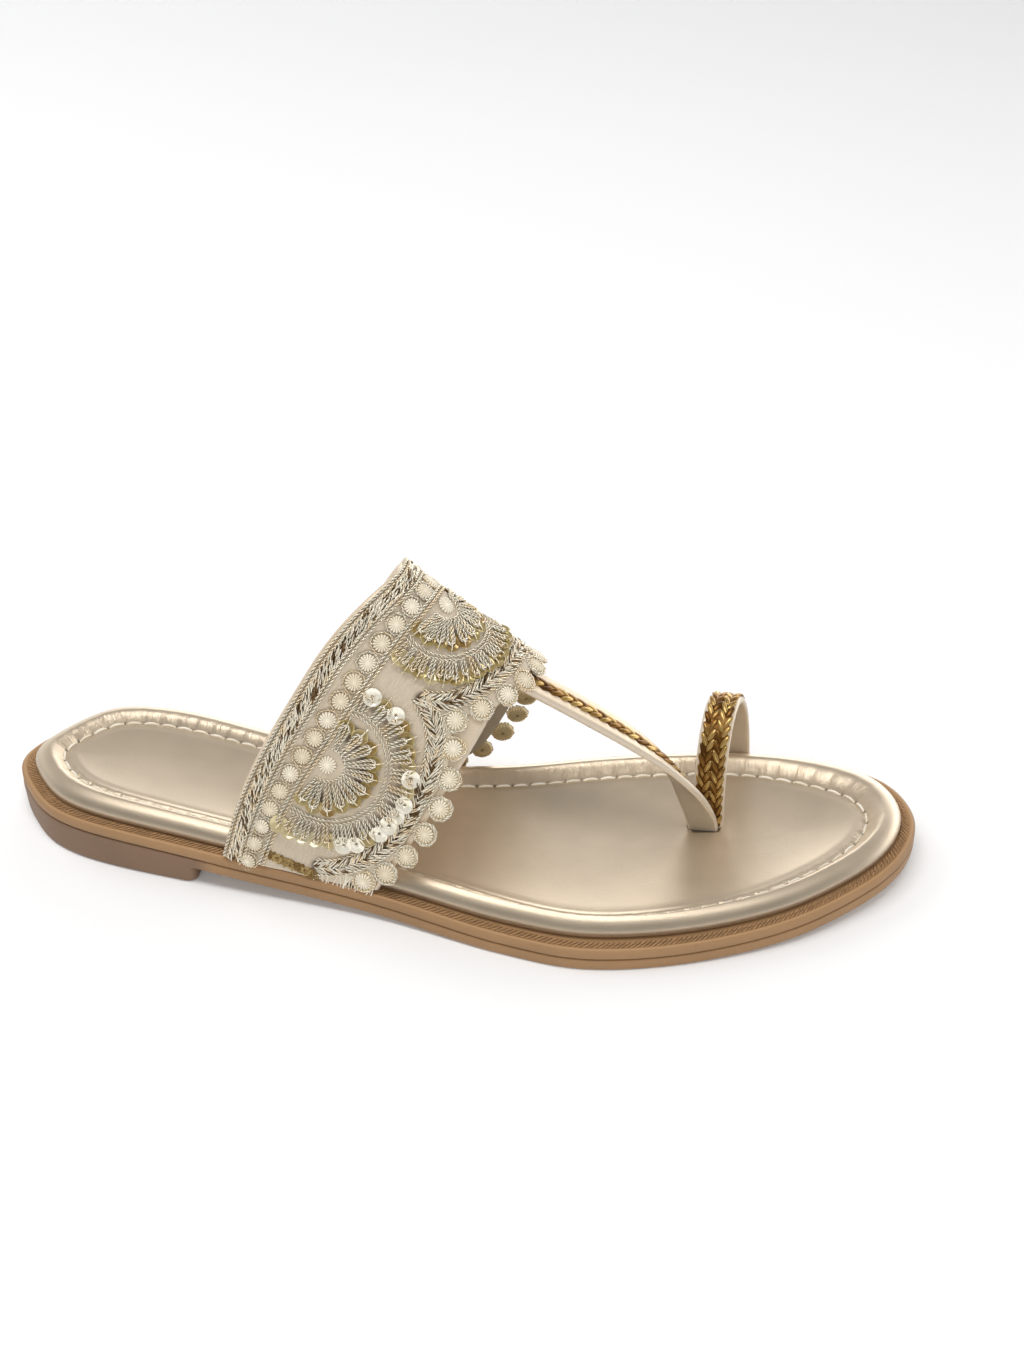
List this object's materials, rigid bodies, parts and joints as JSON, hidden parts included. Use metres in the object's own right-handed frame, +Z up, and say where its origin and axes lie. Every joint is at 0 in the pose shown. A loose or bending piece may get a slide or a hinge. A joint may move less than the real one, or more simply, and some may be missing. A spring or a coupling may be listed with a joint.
{
  "type": "kolhapuri chappal",
  "caption": "Right women's kolhapuri chappal: padded footbed on a flat moulded sole, wide embroidered instep band, braided thong strap and toe ring.",
  "frame": {"origin": "on the floor under the middle of the shoe's box", "axes": "+X to the toe, +Y to the medial side, +Z up"},
  "size_m": [0.25, 0.0898, 0.0852],
  "materials": {
    "rubber": "matt tan moulded rubber",
    "welt_rubber": "matt tan moulded rubber with a ribbed ledge",
    "metallic_leather": "satin champagne gold, fine grain",
    "embroidery": "beige cloth with silver and pale gold thread, pearls and sequins",
    "bronze_braid": "glossy bronze gold plait"
  },
  "bodies": {
    "root": {"outsole": "rubber", "midsole": "welt_rubber", "footbed": "metallic_leather", "upper": "metallic_leather", "embroidered_panel": "embroidery", "thong_braid": "bronze_braid", "ring_braid": "bronze_braid"}
  },
  "joints": []
}
